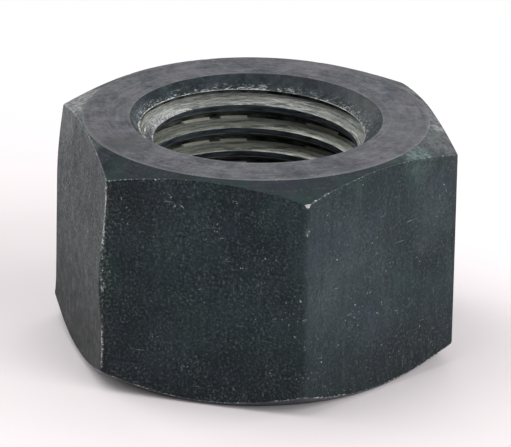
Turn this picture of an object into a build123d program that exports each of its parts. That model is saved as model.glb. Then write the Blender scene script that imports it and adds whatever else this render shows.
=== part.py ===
from build123d import *
from build123d.topology import SkipClean
import os
from math import ceil, cos, radians, sin, tan

# Full-height hexagon nut, M42 x 4.5, right-hand thread, across flats 65 mm.
# Frame: origin at the centre of the lower bearing face, +Z along the thread axis,
# one pair of wrench flats square to Y, so two corners lie on the X axis.
# All lengths are in millimetres.

# Driving dimensions
ACROSS_FLATS = 65.0
HEIGHT = 43.0
THREAD_MAJOR_D = 42.0
THREAD_PITCH = 4.5
THREAD_PHASE_DEG = 142.6  # turn of the groove about Z, which sets where the thread starts
BEARING_FACE_D = 62.6  # round face that the corner chamfers leave, the same at both ends
UPPER_CHAMFER_DEG = 23.0  # slope of the upper corner chamfer, measured from the face
LOWER_CHAMFER_DEG = 31.5
COUNTERSINK_D = 45.5
COUNTERSINK_DEG = 45.0  # half of the included angle
CORNER_RADIUS = 0.8  # forged rounding of the six upright edges
BEARING_EDGE_RADIUS = 0.3  # where each bearing face meets its chamfer
BORE_SECTOR_DEG = 60  # the bore is cut in sectors, so each crest face spans a short arc

# Basic profile of the ISO metric thread, worked out from the pitch
FLANK_DEG = 30.0
FLANK_DEPTH = THREAD_PITCH * cos(radians(FLANK_DEG)) * 5 / 8
THREAD_MINOR_D = THREAD_MAJOR_D - 2 * FLANK_DEPTH
ROOT_FLAT = THREAD_PITCH / 8
CREST_FLAT = THREAD_PITCH / 4
GROOVE_TURNS = ceil(HEIGHT / THREAD_PITCH) + 1  # the groove runs out past both faces
GROOVE_OVERLAP = 0.2  # the groove's section starts this far inside the bore wall

# Derived dimensions
APOTHEM = ACROSS_FLATS / 2
CORNER_REACH = APOTHEM / cos(radians(30)) + 1  # a little past the corners
BEARING_R = BEARING_FACE_D / 2
MINOR_R = THREAD_MINOR_D / 2
COUNTERSINK_DEPTH = (COUNTERSINK_D / 2 - MINOR_R) / tan(radians(COUNTERSINK_DEG))
UPPER_DROP = (CORNER_REACH - BEARING_R) * tan(radians(UPPER_CHAMFER_DEG))
LOWER_DROP = (CORNER_REACH - BEARING_R) * tan(radians(LOWER_CHAMFER_DEG))


def axial_plane(turn_deg, height=0.0):
    """Plane that holds the Z axis, with x outwards at the given turn and y upwards."""
    a = radians(turn_deg)
    return Plane(origin=(0, 0, height), x_dir=(cos(a), sin(a), 0), z_dir=(sin(a), -cos(a), 0))


def blank_section():
    """Hexagon with lightly rounded corners."""
    with BuildSketch(Plane.XY) as section:
        RegularPolygon(radius=APOTHEM, side_count=6, major_radius=False)
        fillet(section.vertices(), radius=CORNER_RADIUS)
    return section.sketch


def envelope_section():
    """Half section of the turning that faces both ends and chamfers the corners."""
    with BuildSketch(Plane.XZ) as section:
        with BuildLine():
            Polyline(
                (0, 0),
                (BEARING_R, 0),
                (CORNER_REACH, LOWER_DROP),
                (CORNER_REACH, HEIGHT - UPPER_DROP),
                (BEARING_R, HEIGHT),
                (0, HEIGHT),
                close=True,
            )
        make_face()
        bearing_edges = [v for v in section.vertices() if abs(v.X - BEARING_R) < 0.01]
        fillet(bearing_edges, radius=BEARING_EDGE_RADIUS)
    return section.sketch


def bore_section(sector):
    """Half section of the drilled bore with a countersink at each end."""
    with BuildSketch(axial_plane(sector * BORE_SECTOR_DEG)) as section:
        with BuildLine():
            Polyline(
                (0, 0),
                (COUNTERSINK_D / 2, 0),
                (MINOR_R, COUNTERSINK_DEPTH),
                (MINOR_R, HEIGHT - COUNTERSINK_DEPTH),
                (COUNTERSINK_D / 2, HEIGHT),
                (0, HEIGHT),
                close=True,
            )
        make_face()
    return section.sketch


def groove_section(height):
    """Section of the groove between two crests of the thread, open towards the axis."""
    mouth = THREAD_PITCH - CREST_FLAT + 2 * GROOVE_OVERLAP * tan(radians(FLANK_DEG))
    with BuildSketch(axial_plane(THREAD_PHASE_DEG, height)) as section:
        with BuildLine():
            Polyline(
                (MINOR_R - GROOVE_OVERLAP, -mouth / 2),
                (MINOR_R + FLANK_DEPTH, -ROOT_FLAT / 2),
                (MINOR_R + FLANK_DEPTH, ROOT_FLAT / 2),
                (MINOR_R - GROOVE_OVERLAP, mouth / 2),
                close=True,
            )
        make_face()
    return section.sketch


def groove_path(height):
    """One right-hand turn of the helix that the groove follows."""
    phase = radians(THREAD_PHASE_DEG)
    start = Plane(origin=(0, 0, height), x_dir=(cos(phase), sin(phase), 0), z_dir=(0, 0, 1))
    with BuildLine(start) as path:
        Helix(pitch=THREAD_PITCH, height=THREAD_PITCH, radius=MINOR_R)
    return path.wire()


os.makedirs("parts", exist_ok=True)

with BuildPart() as hex_nut:
    extrude(blank_section(), amount=HEIGHT)
    revolve(envelope_section(), axis=Axis.Z, mode=Mode.INTERSECT)

    # The crest faces of neighbouring sectors and turns stay separate.
    with SkipClean():
        for sector in range(360 // BORE_SECTOR_DEG):
            revolve(
                bore_section(sector),
                axis=Axis.Z,
                revolution_arc=BORE_SECTOR_DEG,
                clean=False,
                mode=Mode.SUBTRACT,
            )
        for turn in range(GROOVE_TURNS):
            start_height = (turn - 1) * THREAD_PITCH
            sweep(
                groove_section(start_height),
                path=groove_path(start_height),
                is_frenet=True,
                clean=False,
                mode=Mode.SUBTRACT,
            )

hex_nut.part.label = "hex_nut"
export_step(hex_nut.part, "parts/hex_nut.step")
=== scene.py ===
from math import cos, degrees, pi, radians, sin, tan

import bmesh
import bpy
import numpy as np
from mathutils import Matrix, Vector


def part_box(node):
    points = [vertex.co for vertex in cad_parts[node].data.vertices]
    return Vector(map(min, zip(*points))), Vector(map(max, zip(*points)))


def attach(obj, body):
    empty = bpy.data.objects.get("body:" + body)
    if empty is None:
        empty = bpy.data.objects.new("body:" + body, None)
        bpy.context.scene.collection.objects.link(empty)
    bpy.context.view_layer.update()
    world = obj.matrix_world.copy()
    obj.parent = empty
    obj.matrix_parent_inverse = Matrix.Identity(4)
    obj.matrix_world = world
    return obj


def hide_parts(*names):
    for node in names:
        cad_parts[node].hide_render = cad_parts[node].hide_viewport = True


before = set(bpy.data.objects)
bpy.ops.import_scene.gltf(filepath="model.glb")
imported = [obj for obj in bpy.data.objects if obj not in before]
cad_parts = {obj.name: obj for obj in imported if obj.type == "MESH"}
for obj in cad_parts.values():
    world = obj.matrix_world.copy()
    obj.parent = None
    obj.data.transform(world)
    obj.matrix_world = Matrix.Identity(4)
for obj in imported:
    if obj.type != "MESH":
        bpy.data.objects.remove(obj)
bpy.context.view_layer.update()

# The nut's sizes in millimetres. The outside comes from the frame's box.
MM = 0.001
low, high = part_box("hex_nut")
APOTHEM = (high.y - low.y) / 2 / MM
HEIGHT = (high.z - low.z) / MM
BEARING_R = 31.3
UPPER_SLOPE = tan(radians(23.0))
LOWER_SLOPE = tan(radians(31.5))
COUNTERSINK_R = 22.75
PITCH = 4.5
MAJOR_R = 21.0
MINOR_R = MAJOR_R - PITCH * cos(radians(30)) * 5 / 8
# Height at which the upper countersink reaches the thread's roots
SINK_FOOT = HEIGHT - (COUNTERSINK_R - MAJOR_R)
# How far the burr stands in from where thread and countersink meet
BURR_MM = 0.09
# Direction in which the middle of a groove is level with the lower face
THREAD_PHASE = radians(142.6)

# Edge rounding of the outside, from the upper face's rim down to the lower face's rim, and how
# worn the points across each round are
ROUND_MM = (0.16, 0.35, 0.6, 0.3)
ROUND_WEAR = (0.4, 0.85, 1, 0.85, 0.4)
# Rounding where a countersink meets its bearing face
RIM_MM = 0.12

# Corner 0 is on +X, the others follow anticlockwise from above, and flat 0 lies between
# corners 0 and 1.
# The forged hexagon: the rounding of its corners, and the one uneven flat, with how far in it
# lies along its two corners as (height, millimetres in) points, out where negative
CORNER_ROUND_MM = np.array((0.5, 0.8, 0.8, 0.7, 0.8, 1.2))
SET_IN_FLAT = 3
SET_IN_LEFT = ((0, -1.1), (5, -0.2), (12, -0.15), (30, -0.05), (36, 0.5), (41, 1.3))
SET_IN_FRONT = ((0, -0.5), (6, 0.2), (13, 0), (20, -0.5), (25, -0.35), (30, 0.2), (36, 0.8), (43, 0.5))

# The forged skin's hills, as (millimetres apart, millimetres deep)
SKIN_HILLS = ((9.0, 0.08), (3.5, 0.05))

# Knocks on the outside edges: number, ranges of their radii and depths, and brightness
KNOCKS, KNOCK_RADIUS, KNOCK_DEPTH, KNOCK_BRIGHT = 60, (0.35, 0.9), (0.05, 0.2), 0.5
# The brightest knock, on the upper end of an upright corner edge: (x, y, z) and radius, then
# brightness and how much wider than high it is
TOP_KNOCK, TOP_KNOCK_RADIUS = (18.7, -32.3, 40.2), 0.85
TOP_KNOCK_BRIGHT, TOP_KNOCK_WIDE = 1.2, 3.0
KNOCK_SEED = 12

# How worn each upright corner edge is, and how that of the most chipped one changes with height,
# as (height, factor) points
CORNER_WEAR = np.array((0.7, 0.86, 0.9, 0.8, 1.0, 0.82))
CHIPPED_CORNER = 4
CHIPPED_WEAR = ((0, 1.0), (12, 0.98), (16, 0.88), (26, 0.92), (29, 1.05), (37, 1.05), (43, 0.95))
# How worn the upper edge of each flat is at its two ends
UPPER_EDGE_WEAR = np.array(
    ((0.95, 0.95), (0.9, 0.9), (0.95, 0.95), (0.85, 0.85), (1.03, 0.8), (0.98, 0.93))
)

# Mesh density: columns over one wrench flat, and rows over its height
FACE_COLUMNS = 96
WALL_ROWS = 52
# The mesh is shaded smooth where faces meet at less than this angle
SMOOTH_BELOW = radians(35)

# Material slots of the nut, by what made each surface
TURNED, CHAMFER, FORGED, SINK, FLANK, CREST, ROOT = range(7)

# Materials of the strips above each row of one thread, from the lower edge of its crest up. The
# near-black root strips are painted shade.
THREAD_STRIPS = (CREST, CREST, FLANK, FLANK, FLANK, FLANK, ROOT) + (ROOT,) * 6 + (FLANK,)
# The strip at the root that is cut metal on the uppermost turn, painted light on the steps, and black
# painted shade elsewhere
STEP_STRIP = 6
# Arcs, in degrees, where a bright step is painted between a flank that faces up and the root above
# it: painted light where light gets past the shadow of the crest above
LIT_STEP_ARCS = ((59, 79), (110, 124), (129, 146), (196, 214), (243, 262), (309, 330))


# ---------------------------------------------------------------- outside of the nut
def column_angles():
    """Angles of the columns round the nut, closer together towards the six corners."""
    u = np.arange(FACE_COLUMNS) / FACE_COLUMNS * 2 - 1
    along = APOTHEM * tan(radians(30)) * (0.55 * u + 0.45 * np.sin(pi / 2 * u))
    one = np.arctan2(along, APOTHEM) + radians(30)
    return np.concatenate([one + k * pi / 3 for k in range(6)])


def from_corner(angle):
    """Angle from the nearest corner, and that corner's number, 0 on +X."""
    corner = np.round(angle / (pi / 3))
    return angle - corner * pi / 3, corner.astype(int) % 6


def ease(value, start, end):
    """0 before start, 1 after end, and smooth between."""
    share = np.clip((value - start) / (end - start), 0, 1)
    return share * share * (3 - 2 * share)


def hills(angle, z, apart, seed):
    """Smooth random hills from 0 to 1 over the wall, about apart millimetres from each other."""
    around = round(2 * pi * APOTHEM / apart)
    grid = np.random.default_rng(seed).random((int(HEIGHT / apart) + 3, around))
    u = angle / (2 * pi) * around
    v = np.clip(z, 0, HEIGHT) / apart
    column, row = np.floor(u).astype(int), np.floor(v).astype(int)
    du, dv = ease(u - column, 0, 1), ease(v - row, 0, 1)
    left, right = column % around, (column + 1) % around
    lower = grid[row, left] * (1 - du) + grid[row, right] * du
    upper = grid[row + 1, left] * (1 - du) + grid[row + 1, right] * du
    return lower * (1 - dv) + upper * dv


def wall_radius(angle, z):
    """Distance from the axis to the forged wall, rounded where two flats meet."""
    off, corner = from_corner(angle)
    left, front = (
        sum(np.interp(z + shift, *zip(*points)) for shift in (-2, 0, 2)) / 3
        for points in (SET_IN_LEFT, SET_IN_FRONT)
    )
    sides = []
    for turn, flat in ((-radians(30), corner), (radians(30), (corner - 1) % 6)):
        share = 0.5 + 0.5 * np.tan(off + turn) / tan(radians(30))
        set_in = np.where(flat == SET_IN_FLAT, left + (front - left) * share, 0)
        sides.append((APOTHEM - set_in) / np.cos(off + turn))
    width = CORNER_ROUND_MM[corner] * tan(radians(30))
    meet = np.maximum(width - np.abs(sides[0] - sides[1]), 0) / width
    radius = np.minimum(*sides) - meet**2 * width / 4
    # The hills are a quarter as deep at the corners, and full from 5 millimetres off them.
    calm = 0.25 + 0.75 * ease(np.abs(off) * APOTHEM, 0, 5)
    for seed, (apart, depth) in enumerate(SKIN_HILLS):
        radius = radius - depth * calm * hills(angle, z, apart, seed)
    return radius


def corner_wear(angle, z):
    """Wear of the six upright edges, fading over the width of their rounding."""
    off, corner = from_corner(angle)
    chipped = np.where(corner == CHIPPED_CORNER, np.interp(z, *zip(*CHIPPED_WEAR)), 1)
    wear = CORNER_WEAR[corner] * chipped
    near = 1 - ease(np.abs(off) * APOTHEM, 0.2, 0.4 + 0.7 * CORNER_ROUND_MM[corner])
    return wear * near


def upper_edge_wear(angle):
    """Wear of the edge between each flat and the upper chamfer."""
    # The small addition keeps a column on a corner with the flat after it.
    place = angle / (pi / 3) + 1e-9
    flat = np.floor(place).astype(int)
    first, last = UPPER_EDGE_WEAR[flat % 6].T
    return first + (last - first) * (place - flat)


def rounded(before, corner, after, radius, count):
    """Points of a small round between two straight runs, each point an (r, z) pair of arrays."""
    points = []
    ends = []
    for other in (before, after):
        dr, dz = other[0] - corner[0], other[1] - corner[1]
        length = np.maximum(np.hypot(dr, dz), 1e-6)
        reach = np.minimum(radius, length * 0.45)
        ends.append((corner[0] + dr / length * reach, corner[1] + dz / length * reach))
    for t in np.linspace(0, 1, count):
        a, b, c = (1 - t) ** 2, 2 * t * (1 - t), t**2
        points.append(
            (
                a * ends[0][0] + b * corner[0] + c * ends[1][0],
                a * ends[0][1] + b * corner[1] + c * ends[1][1],
            )
        )
    return points


def between(first, last, shares):
    """Points on the straight run from first to last, at the given shares of it."""
    return [
        (first[0] + (last[0] - first[0]) * s, first[1] + (last[1] - first[1]) * s)
        for s in shares
    ]


def wall_shares():
    """Shares of the wall's height for its rows, closer together towards both ends."""
    even = np.linspace(0, 1, WALL_ROWS + 2)[1:-1]
    return 0.35 * (0.5 - 0.5 * np.cos(pi * even)) + 0.65 * even


def outside_rows(angle):
    """Rows from the top face's inner edge, over the outside, to the lower face's inner edge.

    Each row is (r, z, material of the strip before it, wear), and wear is 1 on an edge."""
    ones = np.ones_like(angle)
    inner = (COUNTERSINK_R + 1.2) * ones
    upper = lower = wall_radius(angle, HEIGHT / 2)
    # Each turn comes closer to where the wall meets the two chamfers.
    for _ in range(6):
        upper = wall_radius(angle, HEIGHT - UPPER_SLOPE * (upper - BEARING_R))
        lower = wall_radius(angle, LOWER_SLOPE * (lower - BEARING_R))
    corners = [
        (inner, HEIGHT * ones),
        (BEARING_R * ones, HEIGHT * ones),
        (upper, HEIGHT - UPPER_SLOPE * (upper - BEARING_R)),
        (lower, LOWER_SLOPE * (lower - BEARING_R)),
        (BEARING_R * ones, 0 * ones),
        (inner, 0 * ones),
    ]
    rounds = [
        rounded(*corners[k : k + 3], radius, len(ROUND_WEAR)) for k, radius in enumerate(ROUND_MM)
    ]
    ends = [[corners[0]], *rounds, [corners[-1]]]
    runs = [
        ([0, 0.3, 0.6, 0.85, 0.97], TURNED),
        ([0.06, 0.25, 0.5, 0.75, 0.94], CHAMFER),
        (wall_shares(), FORGED),
        ([0.06, 0.25, 0.5, 0.75, 0.94], CHAMFER),
        ([0.03, 0.2, 0.6, 1], TURNED),
    ]
    rows = []
    for k, (shares, material) in enumerate(runs):
        for r, z in between(ends[k][-1], ends[k + 1][0], shares):
            if material == FORGED:
                rows.append((wall_radius(angle, z), z, material, corner_wear(angle, z)))
            else:
                rows.append((r, z, material, 0 * ones))
        if k < len(rounds):
            for n, wear in enumerate(ROUND_WEAR):
                r, z = rounds[k][n]
                # The second round down is the one between the upper chamfer and the flats.
                worn = wear * (upper_edge_wear(angle) if k == 1 else ones)
                rows.append((r, z, runs[k + 1][1] if n > 2 else material, worn))
    return rows


def knocked(angle, rows):
    """The rows with small dents knocked into the edges, each bright at its bottom."""
    r, z = np.array([row[0] for row in rows]), np.array([row[1] for row in rows])
    wear = np.array([row[3] for row in rows])
    place = np.stack([r * np.cos(angle), r * np.sin(angle), z], axis=2)
    pick = np.random.default_rng(KNOCK_SEED)
    edges = np.argwhere(wear > 0.8)
    spots = [
        (place[row, column], pick.uniform(*KNOCK_RADIUS), pick.uniform(*KNOCK_DEPTH), KNOCK_BRIGHT, 1)
        for row, column in edges[pick.integers(len(edges), size=KNOCKS)]
    ]
    spots.append((TOP_KNOCK, TOP_KNOCK_RADIUS, KNOCK_DEPTH[1], TOP_KNOCK_BRIGHT, TOP_KNOCK_WIDE))
    for centre, radius, depth, bright, wide in spots:
        away = np.linalg.norm((place - np.array(centre)) * (1, 1, wide), axis=2)
        dent = np.exp(-((away / radius) ** 2) * 1.6)
        r = r - depth * dent
        wear = np.maximum(wear, np.minimum(wear + bright * dent, bright + 0.5) * (dent > 0.05))
    return [(r[k], row[1], row[2], wear[k]) for k, row in enumerate(rows)]


# ---------------------------------------------------------------- bore and thread
def thread_levels():
    """Heights within one pitch, from a crest's middle, and the wall radius at each."""
    # Half the crest's width, how steeply the flanks go out, where the flat root starts, and how
    # much of the edge between crest and flank is worn off
    crest, slope = PITCH / 8, 1 / tan(radians(30))
    root = crest + (MAJOR_R - MINOR_R) / slope
    worn = 0.06
    rise = [
        (-crest + worn, 0.0),
        (0.0, 0.0),
        (crest - worn, 0.0),
        (crest + worn, worn * slope),
        (crest + 0.4, 0.4 * slope),
        (crest + 0.85, 0.85 * slope),
        (root - 0.2, (root - 0.2 - crest) * slope),
        (root + 0.05, MAJOR_R - MINOR_R - 0.03),
        (PITCH / 2, MAJOR_R - MINOR_R),
    ]
    down = [(PITCH - w, r) for w, r in reversed(rise[3:-1])]
    levels = rise + down
    return np.array([w for w, r in levels]), np.array([MINOR_R + r for w, r in levels])


def cone_radius(z):
    """Radius of whichever countersink reaches furthest out at height z."""
    return np.maximum(COUNTERSINK_R - (HEIGHT - z), COUNTERSINK_R - z)


def bore_rows(angle):
    """Helical rows of the bore, one line per row, from below the nut to above it.

    Heights, radii, how far inside the countersink each point of the thread would be, which
    points are where the two meet, and the number of rows per turn."""
    level, radius = thread_levels()
    per_turn = len(level)
    first = -PITCH * THREAD_PHASE / (2 * pi) + PITCH / 2
    turns = range(-2, int(HEIGHT / PITCH) + 2)
    w = np.concatenate([first + level + PITCH * k for k in turns])
    r = np.tile(radius, len(turns))
    z = w[:, None] + PITCH * angle[None, :] / (2 * pi)
    r = np.repeat(r[:, None], len(angle), axis=1)
    # A row beside a crossing of thread and countersink moves onto it, so the edge is crisp.
    gap = cone_radius(z) - r
    edge = np.zeros(z.shape, bool)
    for j in range(len(w) - 1):
        flips = (gap[j] > 0) != (gap[j + 1] > 0)
        share = np.where(flips, gap[j] / np.where(flips, gap[j] - gap[j + 1], 1), 0)
        zc = z[j] + (z[j + 1] - z[j]) * share
        rc = r[j] + (r[j + 1] - r[j]) * share
        for near, row in ((share < 0.5, j), (share >= 0.5, j + 1)):
            take = flips & near
            z[row] = np.where(take, zc, z[row])
            r[row] = np.where(take, rc, r[row])
            edge[row] |= take
    gap = np.where(edge, 0, cone_radius(z) - r)
    out = np.maximum(r, cone_radius(z)) - BURR_MM * edge
    return z, out, gap, edge, per_turn


def bare_metal_and_lit_steps(angle, z, gap, per_turn):
    """Where the tap left bright metal on the upper countersink where it ran in, and the bright steps
    of painted light on the roots.
    """
    first_root = -PITCH * THREAD_PHASE / (2 * pi) + PITCH * (1 + angle / (2 * pi))
    root = SINK_FOOT - (SINK_FOOT - first_root) % PITCH
    # On the countersink, below the uppermost whole groove, with soft limits
    bare_and_lit = ease(root - z, 0.1, 0.7) * ease(SINK_FOOT - root, 0.05, 0.45) * (gap >= 0)
    bare_and_lit = bare_and_lit * (z > HEIGHT / 2)
    # Painted light: bright steps on the root strip below the first turn, where light gets past the
    # crests' shadow.
    strip = np.arange(len(z)) % per_turn
    stepped = (strip == STEP_STRIP) | (strip == STEP_STRIP + 1)
    turned = np.degrees(angle) % 360
    for start, end in LIT_STEP_ARCS:
        inside = (turned > start) & (turned < end)
        below = (gap < 0) & (z < SINK_FOOT - PITCH)
        bare_and_lit = np.where(stepped[:, None] & inside & below, 1.0, bare_and_lit)
    return bare_and_lit


def thread_material(strip, angle, z):
    """Material of a strip of the thread at the given angle in degrees and height."""
    stepped = any(start < angle < end for start, end in LIT_STEP_ARCS)
    first_turn = z > SINK_FOOT - PITCH
    # The root strip takes the flank's material on the uppermost turn and on the steps of painted
    # light; elsewhere it is black, painted shade.
    if strip == STEP_STRIP and (stepped or first_turn):
        return FLANK
    return THREAD_STRIPS[strip]


# ---------------------------------------------------------------- one closed mesh
class Builder:
    """Collects vertices with their attributes, and faces with their materials."""

    def __init__(self):
        self.points, self.wear, self.gap, self.bare_and_lit = [], [], [], []
        self.faces, self.materials = [], []

    def point(self, angle, r, z, wear, gap=9.0, bare_and_lit=0.0):
        """One vertex: wear is 1 on an outside edge, gap is 0 where thread and countersink meet,
        and the last value is 1 where the tap left bright metal and on the steps of painted light."""
        self.points.append((r * cos(angle), r * sin(angle), z))
        self.wear.append(wear)
        self.gap.append(gap)
        self.bare_and_lit.append(bare_and_lit)
        return len(self.points) - 1

    def ring(self, angle, r, z, wear):
        """A ring of vertices round the axis, one at each angle."""
        return np.array([self.point(*values) for values in zip(angle, r, z, wear)])

    def face(self, corners, material):
        """One face, left out where its corners fall together."""
        kept = [c for k, c in enumerate(corners) if c != corners[k - 1]]
        if len(kept) >= 3 and len(set(kept)) == len(kept):
            self.faces.append(kept)
            self.materials.append(material)

    def join(self, upper, lower, material):
        """Faces between two rings that have as many vertices."""
        for k in range(len(upper)):
            n = (k + 1) % len(upper)
            self.face((upper[k], lower[k], lower[n], upper[n]), material)

    def join_double(self, fine, coarse, material, fine_first):
        """Faces between a ring and one with half as many vertices."""
        for k in range(len(coarse)):
            n = (k + 1) % len(coarse)
            a, b, c = fine[2 * k], fine[2 * k + 1], fine[2 * n]
            for tri in ((a, coarse[k], b), (b, coarse[k], coarse[n]), (b, coarse[n], c)):
                self.face(tri if fine_first else tri[::-1], material)


def build_nut():
    """The whole nut as one closed mesh."""
    outer = column_angles()
    inner = outer[::2]
    ones = np.ones_like(inner)
    b = Builder()

    rows = knocked(outer, outside_rows(outer))
    rings = [b.ring(outer, r, z, wear) for r, z, material, wear in rows]
    for k in range(1, len(rings)):
        b.join(rings[k - 1], rings[k], rows[k][2])

    def rim_rings(face_z, into):
        """The rounded rim of one countersink, from its bearing face inwards."""
        # (millimetres out, millimetres in from the face, wear)
        shape = (
            (0.5, 0.0, 0),
            (RIM_MM, 0.0, 0.6),
            (RIM_MM * 0.25, RIM_MM * 0.1, 1),
            (-RIM_MM * 0.4, RIM_MM * 0.5, 1),
            (-RIM_MM, RIM_MM, 0.6),
            (-2 * RIM_MM, 2 * RIM_MM, 0),
        )
        return [
            b.ring(inner, (COUNTERSINK_R + dr) * ones, (face_z + into * dz) * ones, wear * ones)
            for dr, dz, wear in shape
        ]

    top, bottom = rim_rings(HEIGHT, -1), rim_rings(0.0, 1)
    b.join_double(rings[0], top[0], TURNED, False)
    b.join_double(rings[-1], bottom[0], TURNED, True)
    for k in range(len(top) - 1):
        b.join(top[k + 1], top[k], SINK if k > 1 else TURNED)
        b.join(bottom[k], bottom[k + 1], SINK if k > 1 else TURNED)

    z, r, gap, on_edge, per_turn = bore_rows(inner)
    bare_and_lit = bare_metal_and_lit_steps(inner, z, gap, per_turn)
    ids = np.zeros(z.shape, int)
    # Points of the bore nearer than this to a bearing face fall together on its rim.
    end = 2 * RIM_MM + 0.02
    for j in range(z.shape[0]):
        for i in range(z.shape[1]):
            if z[j, i] >= HEIGHT - end:
                ids[j, i] = top[-1][i]
            elif z[j, i] <= end:
                ids[j, i] = bottom[-1][i]
            else:
                ids[j, i] = b.point(inner[i], r[j, i], z[j, i], 0, gap[j, i], bare_and_lit[j, i])
    columns = z.shape[1]
    for j in range(z.shape[0] - 1):
        for i in range(columns):
            n, up = (i + 1, 0) if i < columns - 1 else (0, per_turn)
            if j + 1 + up >= z.shape[0]:
                continue
            # The four corners of this patch, the second pair one column on
            patch = ((j, i), (j + up, n), (j + 1 + up, n), (j + 1, i))
            thread = thread_material(j % per_turn, degrees(inner[i]) % 360, z[j, i])
            if on_edge[patch[0]] and on_edge[patch[2]]:
                cuts = ((0, 1, 2), (0, 2, 3))
            elif on_edge[patch[1]] and on_edge[patch[3]]:
                cuts = ((0, 1, 3), (1, 2, 3))
            else:
                cuts = ((0, 1, 2, 3),)
            for cut in cuts:
                cone = all(gap[patch[c]] >= 0 for c in cut)
                b.face(tuple(ids[patch[c]] for c in cut), SINK if cone else thread)
    return b


def make_nut():
    """The nut as one mesh object, with wear, gap, and bright metal with painted light, as attributes
    of its vertices.
    """
    b = build_nut()
    mesh = bpy.data.meshes.new("hex_nut_body")
    mesh.from_pydata([tuple(c * MM for c in p) for p in b.points], [], b.faces)
    mesh.polygons.foreach_set("material_index", b.materials)
    for name, values in (("wear", b.wear), ("gap", b.gap), ("bare_and_lit", b.bare_and_lit)):
        mesh.attributes.new(name, "FLOAT", "POINT").data.foreach_set("value", values)
    mesh.validate(verbose=True)
    clean = bmesh.new()
    clean.from_mesh(mesh)
    bmesh.ops.recalc_face_normals(clean, faces=clean.faces)
    clean.to_mesh(mesh)
    clean.free()
    mesh.polygons.foreach_set("use_smooth", [True] * len(mesh.polygons))
    mesh.set_sharp_from_angle(angle=SMOOTH_BELOW)
    nut = bpy.data.objects.new("hex_nut_body", mesh)
    bpy.context.collection.objects.link(nut)
    return nut


# ---------------------------------------------------------------- materials
# Bare metal at a fresh chip
BRIGHT = (0.42, 0.43, 0.42)
# Directions, in degrees, in which the flat with the strongest speckle and the smoothest one face
LEFT_FLAT, RIGHT_FLAT = 210, 330

# Scuffed places on the chamfers and flats: centre and radius in millimetres, and colour
SCUFFS = (
    ((34.0, 3.0, 41.5), 10.0, (0.115, 0.125, 0.130)),
    ((30.0, 12.5, 42.3), 9.5, (0.185, 0.190, 0.200)),
    ((32.0, 6.5, 42.2), 1.5, (0.300, 0.310, 0.310)),
    ((32.8, -8.0, 41.3), 4.4, (0.130, 0.182, 0.174)),
    ((24.0, 24.0, 42.0), 4.0, (0.180, 0.190, 0.195)),
    ((-34.0, -1.0, 42.0), 11.0, (0.330, 0.340, 0.340)),
    ((-30.5, -12.5, 41.8), 3.5, (0.160, 0.170, 0.172)),
    ((-27.0, 21.0, 41.5), 4.5, (0.110, 0.120, 0.125)),
    ((-26.0, -19.5, 41.5), 6.5, (0.105, 0.120, 0.126)),
)
# Middle of the rubbed part of the upper countersink, in millimetres
HANDLED_SINK = (-21.5, -6.0, 42.0)
# A dark stain and a paler place on the upper bearing face: centre and radius in millimetres,
# how soft its border is, share, colour
FACE_PATCHES = (
    ((-19.0, -20.5, 43.0), 6.5, 0.7, 0.65, (0.044, 0.046, 0.049)),
    ((27.0, 3.0, 43.0), 9.0, 1.0, 0.45, (0.150, 0.152, 0.164)),
)
# Paler and darker patches on the flats, most of the dark ones at the bottom: centre, radius in
# millimetres, share, colour
PALE, DARK = (0.046, 0.062, 0.068), (0.002, 0.005, 0.006)
FLAT_PATCHES = (
    ((35.0, -5.0, 31.0), 9.0, 0.65, PALE),
    ((24.0, -23.0, 27.0), 14.0, 0.45, PALE),
    ((27.0, -18.0, 13.0), 6.0, 0.25, PALE),
    ((21.5, -28.0, 20.0), 7.0, 0.45, PALE),
    ((-13.0, -32.5, 37.0), 8.0, 0.80, DARK),
    ((-25.0, -21.0, 1.0), 19.0, 0.85, DARK),
    ((32.0, -9.0, 2.0), 15.0, 0.85, DARK),
    ((24.0, -23.0, 3.0), 9.0, 0.50, DARK),
)


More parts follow.
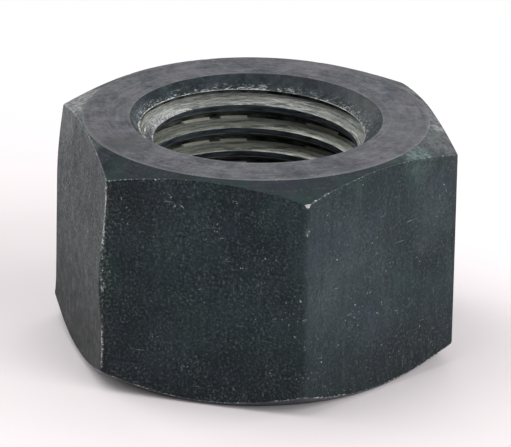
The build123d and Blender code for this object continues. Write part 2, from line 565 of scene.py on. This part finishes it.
class Surface:
    """One material, with short ways to add its nodes. Lengths in its textures are millimetres."""

    def __init__(self, name):
        self.material = bpy.data.materials.new(name)
        self.material.use_nodes = True
        self.tree = self.material.node_tree
        self.bsdf = self.tree.nodes["Principled BSDF"]
        place = self.tree.nodes.new("ShaderNodeTexCoord").outputs["Object"]
        self.mm = self.vector("SCALE", place, scale=1 / MM)

    def put(self, value, socket):
        """Link a socket to the input, or set a plain value on it."""
        if isinstance(value, bpy.types.NodeSocket):
            self.tree.links.new(value, socket)
        elif isinstance(value, tuple) and len(socket.default_value) == 4 and len(value) == 3:
            socket.default_value = (*value, 1)
        else:
            socket.default_value = value

    def set(self, **inputs):
        """Inputs of the surface shader, by name."""
        for name, value in inputs.items():
            self.put(value, self.bsdf.inputs[name.replace("_", " ")])

    def vector(self, operation, a, b=None, scale=None):
        node = self.tree.nodes.new("ShaderNodeVectorMath")
        node.operation = operation
        self.put(a, node.inputs[0])
        if b is not None:
            self.put(b, node.inputs[1])
        if scale is not None:
            self.put(scale, node.inputs["Scale"])
        return node.outputs[1 if operation in ("LENGTH", "DOT_PRODUCT") else 0]

    def math(self, operation, a, b=0.0, c=0.0):
        node = self.tree.nodes.new("ShaderNodeMath")
        node.operation = operation
        for value, socket in zip((a, b, c), node.inputs):
            self.put(value, socket)
        return node.outputs[0]

    def noise(self, size, detail, roughness=0.55, vector=None, shift=0.0, distortion=0.0):
        """Noise from 0 to 1 whose lumps are about size millimetres."""
        node = self.tree.nodes.new("ShaderNodeTexNoise")
        source = self.mm if vector is None else vector
        if shift:
            source = self.vector("ADD", source, (shift, shift * 0.7, -shift))
        self.put(source, node.inputs["Vector"])
        self.put(1 / size, node.inputs["Scale"])
        self.put(detail, node.inputs["Detail"])
        self.put(roughness, node.inputs["Roughness"])
        self.put(distortion, node.inputs["Distortion"])
        return node.outputs["Fac"]

    def step(self, value, start, end, to_start=0.0, to_end=1.0):
        """value taken from the range start..end to to_start..to_end, and held there."""
        node = self.tree.nodes.new("ShaderNodeMapRange")
        node.clamp = True
        for v, name in zip(
            (value, start, end, to_start, to_end),
            ("Value", "From Min", "From Max", "To Min", "To Max"),
        ):
            self.put(v, node.inputs[name])
        return node.outputs[0]

    def mix(self, share, a, b):
        """Colour a where share is 0, and b where it is 1."""
        node = self.tree.nodes.new("ShaderNodeMix")
        node.data_type = "RGBA"
        self.put(share, node.inputs["Factor"])
        self.put(a, next(i for i in node.inputs if i.identifier == "A_Color"))
        self.put(b, next(i for i in node.inputs if i.identifier == "B_Color"))
        return next(o for o in node.outputs if o.identifier == "Result_Color")

    def stretched(self, x, y, z):
        """Coordinates for marks that are about x, y and z millimetres long."""
        return self.vector("MULTIPLY", self.mm, (1 / x, 1 / y, 1 / z))

    def attribute(self, name):
        node = self.tree.nodes.new("ShaderNodeAttribute")
        node.attribute_name = name
        return node.outputs["Fac"]

    def polar(self, along, across, drift=0.0):
        """Coordinates for marks that run round the axis, about along by across millimetres;
        drift changes them slowly with height, per millimetre."""
        flat = self.vector("MULTIPLY", self.mm, (1.0, 1.0, 0.0))
        heading = self.vector("SCALE", self.vector("NORMALIZE", flat), scale=BEARING_R / along)
        out = self.math("MULTIPLY", self.vector("LENGTH", flat), 1 / across)
        height = self.math("MULTIPLY_ADD", self.height(), drift, out)
        lift = self.tree.nodes.new("ShaderNodeCombineXYZ")
        self.put(height, lift.inputs["Z"])
        return self.vector("ADD", heading, lift.outputs[0])

    def height(self):
        """Height above the floor in millimetres."""
        node = self.tree.nodes.new("ShaderNodeSeparateXYZ")
        self.put(self.mm, node.inputs[0])
        return node.outputs["Z"]

    def both(self, *shares):
        """The product of several shares."""
        product = shares[0]
        for share in shares[1:]:
            product = self.math("MULTIPLY", product, share)
        return product

    def flat(self, angle, start, end):
        """1 on the flat that faces that angle in degrees, 0 at less than start millimetres out."""
        way = (cos(radians(angle)), sin(radians(angle)), 0.0)
        return self.step(self.vector("DOT_PRODUCT", self.mm, way), start, end)

    def spot(self, place, radius, soft=0.5):
        """1 near a place given in millimetres, 0 beyond the radius, with a ragged edge."""
        away = self.vector("LENGTH", self.vector("SUBTRACT", self.mm, place))
        ragged = self.math("MULTIPLY_ADD", self.noise(radius * 0.5, 4.0), radius, away)
        return self.step(ragged, radius * (1.5 - soft), radius * 1.5, 1.0, 0.0)

    def scuffed(self, tone, share=1.0):
        """The tone with the scuffed places rubbed through."""
        grit = self.step(self.noise(0.8, 4.0, 0.8, shift=2.0), 0.42, 0.58, 0.2 * share, share)
        for place, radius, colour in SCUFFS:
            tone = self.mix(self.both(self.spot(place, radius), grit), tone, colour)
        return tone

    def chips(self, reach, share):
        """Bright chips along the outside edges: reach is how far they spread from the edge,
        and share how much of its length they take."""
        run = self.noise(4.0, 2.0, 0.6, shift=23.0)
        fine = self.noise(0.45, 3.0, 0.8, shift=41.0)
        mixed = self.math("MULTIPLY_ADD", fine, 0.75, self.math("MULTIPLY", run, 0.25))
        near = self.math("POWER", self.attribute("wear"), 1 / reach)
        return self.step(self.math("MULTIPLY", mixed, near), 0.66 - share, 0.70 - share)

    def bump(self, *layers):
        """Normal from (height 0..1, depth in millimetres) layers."""
        normal = None
        for height, depth in layers:
            node = self.tree.nodes.new("ShaderNodeBump")
            node.inputs["Distance"].default_value = depth * MM
            node.inputs["Strength"].default_value = 1.0
            self.put(height, node.inputs["Height"])
            if normal is not None:
                self.put(normal, node.inputs["Normal"])
            normal = node.outputs[0]
        self.put(normal, self.bsdf.inputs["Normal"])


def turned_steel():
    """Bearing faces: turned, blackened and handled grey."""
    s = Surface("turned_steel")
    blotch = s.noise(3.2, 5.0, 0.7)
    patch = s.noise(13.0, 3.0, 0.6, shift=17.0)
    streak = s.noise(1.0, 4.0, 0.7, vector=s.polar(9.0, 0.6))
    speck = s.noise(0.6, 3.0, 0.6, shift=5.0)
    tone = s.mix(s.step(patch, 0.40, 0.60), (0.060, 0.069, 0.082), (0.108, 0.106, 0.122))
    tone = s.mix(s.step(blotch, 0.50, 0.66, 0.0, 0.75), tone, (0.150, 0.150, 0.162))
    tone = s.mix(s.step(blotch, 0.34, 0.47, 0.65, 0.0), tone, (0.034, 0.036, 0.045))
    tone = s.mix(s.step(streak, 0.52, 0.68, 0.0, 0.6), tone, (0.170, 0.170, 0.178))
    tone = s.mix(s.step(streak, 0.34, 0.47, 0.6, 0.0), tone, (0.036, 0.038, 0.044))
    tone = s.mix(s.step(speck, 0.60, 0.68, 0.0, 0.6), tone, (0.22, 0.22, 0.23))
    tone = s.mix(s.step(speck, 0.32, 0.40, 0.6, 0.0), tone, (0.024, 0.025, 0.030))
    for place, radius, soft, share, colour in FACE_PATCHES:
        tone = s.mix(s.both(s.spot(place, radius, soft), share), tone, colour)
    # Painted highlight: a lighter ring just inside the outer rim of each bearing face.
    out = s.vector("LENGTH", s.vector("MULTIPLY", s.mm, (1.0, 1.0, 0.0)))
    tone = s.mix(s.step(out, BEARING_R - 0.7, BEARING_R - 0.2, 0.0, 0.35), tone, (0.17, 0.17, 0.18))
    tone = s.mix(s.step(s.attribute("wear"), 0.2, 1.0, 0.0, 0.4), tone, (0.22, 0.225, 0.23))
    s.set(Base_Color=tone, Metallic=0.2, IOR=1.45)
    s.set(Roughness=s.step(blotch, 0.35, 0.65, 0.62, 0.42))
    s.bump((streak, 0.05), (blotch, 0.08), (speck, 0.04))
    return s.material


def chamfer_steel():
    """Corner chamfers: smooth machined steel under dark oxide."""
    s = Surface("chamfer_steel")
    blotch = s.noise(3.0, 5.0, 0.7)
    tint = s.noise(8.0, 2.0, 0.5, shift=31.0)
    streak = s.noise(1.0, 4.0, 0.6, vector=s.polar(9.0, 0.5))
    grain = s.noise(0.55, 3.0, 0.6)
    tone = s.mix(s.step(blotch, 0.36, 0.64), (0.004, 0.011, 0.014), (0.014, 0.024, 0.029))
    tone = s.mix(s.step(tint, 0.52, 0.66, 0.0, 0.6), tone, (0.008, 0.034, 0.029))
    tone = s.mix(s.step(tint, 0.32, 0.44, 0.6, 0.0), tone, (0.016, 0.017, 0.034))
    tone = s.mix(s.step(streak, 0.54, 0.70, 0.0, 0.35), tone, (0.048, 0.058, 0.066))
    tone = s.mix(s.step(grain, 0.56, 0.68, 0.0, 0.35), tone, (0.075, 0.086, 0.090))
    tone = s.scuffed(tone)
    tone = s.mix(s.step(s.attribute("wear"), 0.8, 1.0, 0.0, 0.5), tone, (0.085, 0.098, 0.102))
    tone = s.mix(s.chips(0.6, 0.13), tone, BRIGHT)
    s.set(Base_Color=tone, Metallic=0.0, IOR=1.45, Specular_IOR_Level=0.3)
    s.set(Roughness=s.step(blotch, 0.35, 0.65, 0.36, 0.52))
    s.bump((streak, 0.04), (blotch, 0.06), (grain, 0.03))
    return s.material


def forged_steel():
    """Wrench flats: forged skin with oxide, grain, pits and bright nicks."""
    s = Surface("forged_steel")
    patch = s.noise(16.0, 3.0, 0.55, shift=7.0)
    tint = s.noise(10.0, 2.0, 0.5, shift=37.0)
    mottle = s.noise(2.4, 5.0, 0.65)
    coarse = s.noise(5.0, 2.0, 0.5, shift=61.0)
    grain = s.noise(0.5, 4.0, 0.7)
    drawn = s.noise(1.0, 4.0, 0.65, vector=s.stretched(1.1, 1.1, 7.0))
    tone = s.mix(s.step(patch, 0.40, 0.60), (0.003, 0.011, 0.014), (0.012, 0.025, 0.029))
    tone = s.mix(s.step(tint, 0.54, 0.66, 0.0, 0.65), tone, (0.010, 0.019, 0.033))
    tone = s.mix(s.step(tint, 0.32, 0.44, 0.6, 0.0), tone, (0.008, 0.029, 0.026))
    # Darker towards the bottom.
    tone = s.mix(s.step(s.height(), 3.0, 17.0, 0.55, 0.0), tone, (0.003, 0.007, 0.009))
    for place, radius, share, colour in FLAT_PATCHES:
        tone = s.mix(s.both(s.spot(place, radius, 1.0), share), tone, colour)
    tone = s.mix(s.step(mottle, 0.48, 0.66, 0.0, 0.35), tone, (0.032, 0.042, 0.046))
    tone = s.mix(s.step(drawn, 0.53, 0.68, 0.0, 0.3), tone, (0.042, 0.052, 0.055))
    tone = s.mix(s.step(drawn, 0.34, 0.46, 0.3, 0.0), tone, (0.003, 0.006, 0.007))
    smooth = s.step(s.flat(RIGHT_FLAT, 31.6, 32.2), 0.0, 1.0, 1.0, 0.55)
    depth = s.both(smooth, s.step(coarse, 0.40, 0.62, 0.55, 1.0))
    tone = s.mix(s.both(depth, s.step(grain, 0.36, 0.48, 1.0, 0.0)), tone, (0.001, 0.003, 0.004))
    tone = s.mix(s.both(depth, s.step(grain, 0.53, 0.65, 0.0, 0.8)), tone, (0.078, 0.100, 0.106))
    cluster = s.step(s.noise(6.0, 2.0, 0.5, shift=11.0), 0.52, 0.68)
    specks = s.both(cluster, s.step(s.noise(0.5, 2.0, 0.5, shift=3.0), 0.68, 0.73))
    tone = s.mix(specks, tone, BRIGHT)
    for size, shift in (((0.35, 0.35, 5.0), 51.0), ((4.0, 4.0, 0.3), 77.0)):
        line = s.step(s.noise(1.0, 1.0, 0.4, vector=s.stretched(*size), shift=shift), 0.72, 0.78)
        few = s.step(s.noise(7.0, 1.0, 0.5, shift=shift), 0.58, 0.66)
        tone = s.mix(s.both(line, few, s.step(mottle, 0.4, 0.6, 0.2, 0.9)), tone, (0.20, 0.21, 0.21))
    rough = s.flat(LEFT_FLAT, 30.8, 31.8)
    tone = s.mix(s.both(rough, s.step(grain, 0.50, 0.62, 0.0, 0.55)), tone, (0.115, 0.123, 0.124))
    tone = s.mix(s.both(rough, s.step(grain, 0.38, 0.50, 0.7, 0.0)), tone, (0.002, 0.004, 0.005))
    # The left flat darker again towards the bottom.
    tone = s.mix(s.both(rough, s.step(s.height(), 2.0, 25.0, 0.85, 0.0)), tone, DARK)
    tone = s.scuffed(tone, 0.25)
    tone = s.mix(s.step(s.attribute("wear"), 0.9, 1.0, 0.0, 0.5), tone, (0.080, 0.094, 0.098))
    tone = s.mix(s.chips(1.0, 0.15), tone, BRIGHT)
    s.set(Base_Color=tone, Metallic=0.0, IOR=1.45, Specular_IOR_Level=0.25)
    s.set(Roughness=s.step(mottle, 0.35, 0.65, 0.48, 0.70))
    s.bump((mottle, 0.10), (drawn, 0.04), (grain, 0.14))
    return s.material


def countersink_steel():
    """Countersinks: blue-black oxide, scuffed and scraped bright where a tap ran in."""
    s = Surface("countersink_steel")
    blotch = s.noise(2.6, 5.0, 0.7)
    tint = s.noise(8.0, 2.0, 0.5, shift=13.0)
    scrape = s.noise(1.0, 4.0, 0.75, vector=s.polar(2.5, 0.5), distortion=1.2)
    grit = s.noise(0.6, 4.0, 0.75, shift=9.0)
    gap = s.attribute("gap")
    bare_and_lit = s.step(s.attribute("bare_and_lit"), 0.05, 0.6)
    tone = s.mix(s.step(blotch, 0.40, 0.62), (0.001, 0.005, 0.007), (0.020, 0.034, 0.041))
    tone = s.mix(s.step(tint, 0.50, 0.64, 0.0, 0.55), tone, (0.036, 0.044, 0.064))
    near = s.step(gap, 0.3, 3.0, 1.0, 0.0)
    rubbed = s.both(s.step(near, 0.0, 1.0, 0.25, 1.0), s.step(grit, 0.53, 0.64, 0.0, 0.5))
    tone = s.mix(rubbed, tone, (0.125, 0.140, 0.150))
    tone = s.mix(s.step(grit, 0.36, 0.47, 0.6, 0.0), tone, (0.001, 0.004, 0.006))
    tone = s.mix(s.both(near, s.step(scrape, 0.53, 0.60)), tone, (0.38, 0.42, 0.44))
    handled = s.both(s.spot(HANDLED_SINK, 11.0, 1.0), s.step(grit, 0.44, 0.60, 0.15, 0.6))
    tone = s.mix(handled, tone, (0.165, 0.180, 0.192))
    silver = s.mix(s.step(grit, 0.40, 0.60), (0.130, 0.138, 0.142), (0.500, 0.500, 0.500))
    tone = s.mix(bare_and_lit, tone, silver)
    burr = s.both(s.step(gap, 0.10, 0.32, 1.0, 0.0), s.step(scrape, 0.44, 0.58, 0.1, 1.0))
    burr = s.both(burr, s.step(bare_and_lit, 0.0, 0.6, 1.0, 0.0))
    tone = s.mix(burr, tone, (0.66, 0.64, 0.58))
    s.set(Base_Color=tone, Metallic=0.0, IOR=1.45, Specular_IOR_Level=0.3)
    s.set(Roughness=s.step(scrape, 0.35, 0.65, 0.50, 0.34))
    s.bump((scrape, 0.08), (blotch, 0.06), (grit, 0.06))
    return s.material


def cut_steel():
    """Thread flanks that face up, the crests' edges and the steps of painted light: cut metal without
    oxide, marked along the thread.
    """
    s = Surface("cut_steel")
    mark = s.noise(1.0, 5.0, 0.7, vector=s.polar(12.0, 0.45, 0.15))
    fine = s.noise(1.0, 3.0, 0.6, vector=s.polar(4.0, 0.16, 0.3))
    stain = s.noise(4.0, 3.0, 0.6, shift=19.0)
    grain = s.noise(0.6, 4.0, 0.7)
    tone = s.mix(s.step(mark, 0.36, 0.62), (0.085, 0.097, 0.088), (0.335, 0.345, 0.330))
    tone = s.mix(s.step(fine, 0.54, 0.68, 0.0, 0.85), tone, (0.680, 0.680, 0.640))
    tone = s.mix(s.step(fine, 0.32, 0.46, 0.75, 0.0), tone, (0.030, 0.040, 0.036))
    tone = s.mix(s.step(stain, 0.52, 0.66, 0.0, 0.5), tone, (0.120, 0.150, 0.105))
    tone = s.mix(s.step(stain, 0.32, 0.42, 0.4, 0.0), tone, (0.330, 0.270, 0.190))
    tone = s.mix(s.step(grain, 0.56, 0.68, 0.0, 0.35), tone, (0.50, 0.51, 0.50))
    lower = s.both(s.step(s.height(), 34.0, 37.5, 0.6, 0.0), s.step(mark, 0.44, 0.60))
    tone = s.mix(lower, tone, (0.66, 0.71, 0.58))
    bare_and_lit, gap = s.attribute("bare_and_lit"), s.attribute("gap")
    scraped = s.both(s.step(bare_and_lit, 0.1, 0.6), s.step(gap, -1.0, -0.5), s.step(mark, 0.4, 0.6, 0.2, 0.8))
    tone = s.mix(scraped, tone, (0.620, 0.625, 0.615))
    # Painted light: the bright steps on the roots, where light gets past the crests' shadow.
    painted_light_step = s.both(s.step(bare_and_lit, 0.55, 0.9), s.step(gap, -1.0, -0.5, 1.0, 0.0))
    tone = s.mix(s.both(painted_light_step, s.step(fine, 0.36, 0.60, 0.6, 1.0)), tone, (0.88, 0.86, 0.74))
    s.set(Base_Color=tone, Metallic=0.65, IOR=1.5)
    s.set(Roughness=s.step(mark, 0.35, 0.65, 0.52, 0.34))
    s.bump((mark, 0.05), (fine, 0.05), (grain, 0.05))
    return s.material


def crest_steel():
    """Thread crests: the drilled bore, still blackened."""
    s = Surface("crest_steel")
    mark = s.noise(1.0, 4.0, 0.65, vector=s.polar(6.0, 1.0, 3.0))
    tone = s.mix(s.step(mark, 0.40, 0.66), (0.004, 0.008, 0.013), (0.060, 0.074, 0.090))
    s.set(Base_Color=tone, Metallic=0.0, IOR=1.45, Specular_IOR_Level=0.4)
    s.set(Roughness=s.step(mark, 0.35, 0.65, 0.48, 0.34))
    s.bump((mark, 0.05))
    return s.material


def root_steel():
    """Thread roots and the flanks that face down: nearly black, painted shade for the shadow under
    each crest.
    """
    s = Surface("root_steel")
    mark = s.noise(1.0, 3.0, 0.6, vector=s.polar(5.0, 0.5, 0.2))
    # Painted shade: the near-black tone stands in for the shadow in the roots and on the flanks that
    # face down.
    tone = s.mix(s.step(mark, 0.40, 0.64), (0.003, 0.005, 0.005), (0.075, 0.085, 0.080))
    s.set(Base_Color=tone, Metallic=0.0, IOR=1.45, Specular_IOR_Level=0.1)
    s.set(Roughness=s.step(mark, 0.35, 0.65, 0.7, 0.55))
    s.bump((mark, 0.03))
    return s.material


def floor_material():
    """Plain pale floor, faintly pink."""
    s = Surface("pale_floor")
    shade = s.noise(400.0, 2.0, 0.5)
    s.set(Base_Color=s.mix(shade, (0.92, 0.863, 0.878), (0.945, 0.889, 0.904)), Roughness=0.85)
    return s.material


# ---------------------------------------------------------------- studio
# Soft discs as name: (azimuth from the front towards the right, elevation, watts)
LIGHTS = {
    "left_low": (-105, 15, 6.6),
    "left_high": (-60, 70, 4.25),
    "right": (60, 27, 6.2),
    "right_low": (105, 15, 5.7),
    "back": (180, 45, 2.2),
}
LIGHT_DISTANCE, LIGHT_SIZE = 1.0, 0.9
WORLD_STRENGTH = 0.2


def add_lights():
    """Soft discs of light round the nut, under a faint even sky."""
    middle = Vector((0, 0, 0.02))
    for name, (azimuth, elevation, watts) in LIGHTS.items():
        a, e = radians(azimuth), radians(elevation)
        way = Vector((sin(a) * cos(e), -cos(a) * cos(e), sin(e)))
        data = bpy.data.lights.new(name, "AREA")
        data.shape = "DISK"
        data.size = LIGHT_SIZE
        data.energy = watts
        light = bpy.data.objects.new(name, data)
        light.location = middle + way * LIGHT_DISTANCE
        light.rotation_euler = way.to_track_quat("Z", "Y").to_euler()
        bpy.context.collection.objects.link(light)
    world = bpy.data.worlds.new("studio")
    world.use_nodes = True
    background = world.node_tree.nodes["Background"]
    background.inputs["Color"].default_value = (1.0, 0.98, 0.985, 1)
    background.inputs["Strength"].default_value = WORLD_STRENGTH
    bpy.context.scene.world = world


def add_floor():
    """A floor six metres each way, at the height of the lower face."""
    mesh = bpy.data.meshes.new("floor")
    reach = 6
    mesh.from_pydata(
        [(-reach, -reach, 0), (reach, -reach, 0), (reach, reach, 0), (-reach, reach, 0)],
        [],
        [(0, 1, 2, 3)],
    )
    floor = bpy.data.objects.new("floor", mesh)
    floor.data.materials.append(floor_material())
    bpy.context.collection.objects.link(floor)


def add_camera():
    """A long lens, looking down on the nut from the front right."""
    azimuth, elevation, roll = radians(15.63), radians(20.68), radians(1.03)
    # How far the lens aims below and beside the middle of the upper face
    aim_drop, aim_side = radians(1.06), radians(0.006)
    distance, lens = 1.034, 405.3
    target = Vector((0, 0, HEIGHT * MM))
    back = Vector((sin(azimuth) * cos(elevation), -cos(azimuth) * cos(elevation), sin(elevation)))
    right = Vector((cos(azimuth), sin(azimuth), 0))
    up = back.cross(right)
    turned_right = right * cos(roll) + up * sin(roll)
    turned_up = up * cos(roll) - right * sin(roll)
    basis = Matrix((turned_right, turned_up, back)).transposed()
    seen = Vector((tan(aim_side), tan(aim_drop), -1)).normalized()
    aim = seen.rotation_difference(Vector((0, 0, -1))).to_matrix()
    data = bpy.data.cameras.new("camera")
    data.lens = lens
    data.sensor_width = 36
    data.clip_end = 100
    camera = bpy.data.objects.new("camera", data)
    camera.matrix_world = Matrix.Translation(target + back * distance) @ (basis @ aim).to_4x4()
    bpy.context.collection.objects.link(camera)
    bpy.context.scene.camera = camera


nut = make_nut()
for make in (
    turned_steel,
    chamfer_steel,
    forged_steel,
    countersink_steel,
    cut_steel,
    crest_steel,
    root_steel,
):
    nut.data.materials.append(make())
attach(nut, "root")
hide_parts("hex_nut")
add_floor()
add_lights()
add_camera()
bpy.context.scene.view_settings.view_transform = "Standard"
